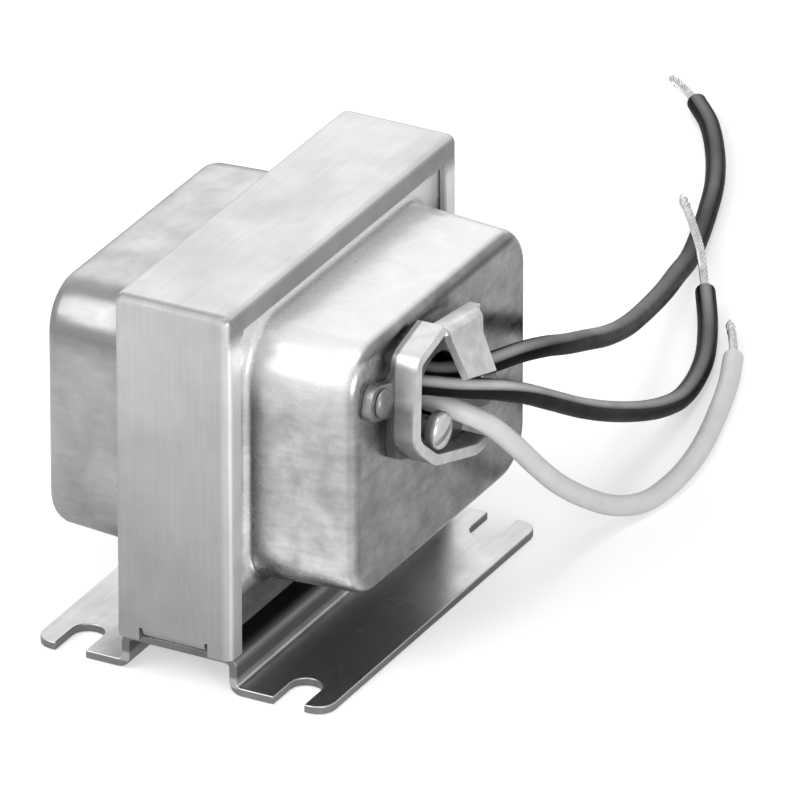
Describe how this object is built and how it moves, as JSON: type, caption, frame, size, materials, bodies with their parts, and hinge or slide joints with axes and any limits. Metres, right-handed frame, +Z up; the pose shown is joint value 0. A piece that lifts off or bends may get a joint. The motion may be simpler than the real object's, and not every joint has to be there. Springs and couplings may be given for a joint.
{
  "type": "signaling transformer",
  "caption": "Small foot-mounted signal transformer with drawn steel end bells on a strapped core, a tilted knockout clamp and free wire leads",
  "frame": {"origin": "on the surface that the feet stand on, under the middle of the rigid body's bounding box, leads left out", "axes": "+X runs along the feet and the core's width, +Z is up, -Y is the side with the clamp and the leads"},
  "size_m": [0.182, 0.0586, 0.0526],
  "materials": {
    "tinned_steel": "semi-gloss",
    "lamination_steel": "satin",
    "zinc_plate": "satin",
    "nylon": "matt",
    "copper_wire": "satin",
    "insulating_tape": "matt",
    "black_vinyl": "satin",
    "white_vinyl": "satin",
    "tinned_copper": "satin",
    "phenolic_board": "matt",
    "brass_plate": "satin"
  },
  "bodies": {
    "root": {"core_e_stack": "lamination_steel", "core_i_stack": "lamination_steel", "coil_bobbin": "nylon", "primary_winding": "copper_wire", "secondary_winding": "copper_wire", "primary_wrap": "insulating_tape", "secondary_wrap": "insulating_tape", "core_strap": "tinned_steel", "base_bracket": "tinned_steel", "front_bell": "tinned_steel", "back_bell": "tinned_steel", "clamp_collar": "zinc_plate", "clamp_jaw": "zinc_plate", "clamp_screw": "zinc_plate", "clamp_rivet_left": "zinc_plate", "clamp_rivet_right": "zinc_plate", "board_rivet_upper": "zinc_plate", "board_rivet_lower": "zinc_plate", "lead_upper": "black_vinyl", "lead_upper_bare_end": "tinned_copper", "lead_lower": "black_vinyl", "lead_lower_bare_end": "tinned_copper", "lead_white": "white_vinyl", "lead_white_bare_end": "tinned_copper", "lead_upper_splice": "nylon", "lead_lower_splice": "nylon", "lead_white_splice": "nylon", "primary_tail_upper": "copper_wire", "primary_tail_lower": "copper_wire", "primary_tail_white": "copper_wire", "terminal_board": "phenolic_board", "terminal_plate_left": "brass_plate", "terminal_plate_right": "brass_plate", "terminal_screw_left": "brass_plate", "terminal_screw_right": "brass_plate", "secondary_tail_left": "copper_wire", "secondary_tail_right": "copper_wire"}
  },
  "joints": []
}
